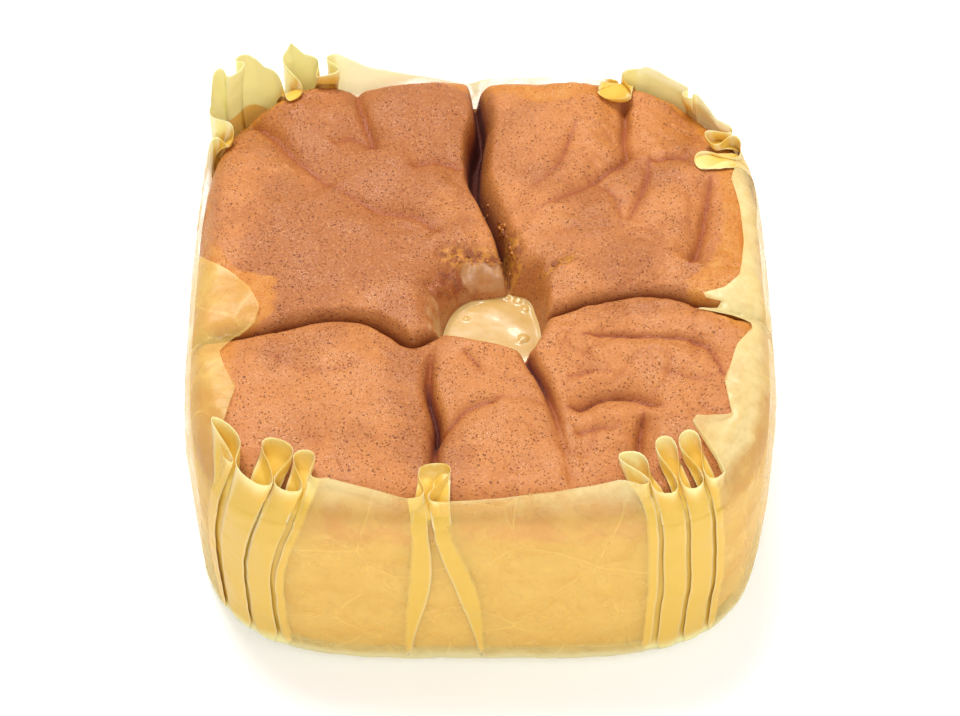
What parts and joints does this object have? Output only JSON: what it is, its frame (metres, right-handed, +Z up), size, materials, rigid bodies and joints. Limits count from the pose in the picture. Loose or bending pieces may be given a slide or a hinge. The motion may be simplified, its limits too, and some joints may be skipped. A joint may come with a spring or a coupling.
{
  "type": "castella sponge cake",
  "caption": "Square puffed castella sponge cake, its browned top split into pillows round a pool of soft custard, standing in a pleated greaseproof paper case.",
  "frame": {"origin": "middle of the paper case's flat base, on the surface the cake stands on", "axes": "+Z up, -Y towards the front, which is the side nearest the custard; +X to the right seen from the front"},
  "size_m": [0.1127, 0.1122, 0.0556],
  "materials": {
    "crust": "matte browned sponge crust, stood in for by matte plastic",
    "custard": "wet glossy custard, stood in for by gloss plastic",
    "paper": "translucent yellow greaseproof paper"
  },
  "bodies": {
    "root": {"sponge": "crust", "custard": "custard", "paper_case": "paper"}
  },
  "joints": []
}
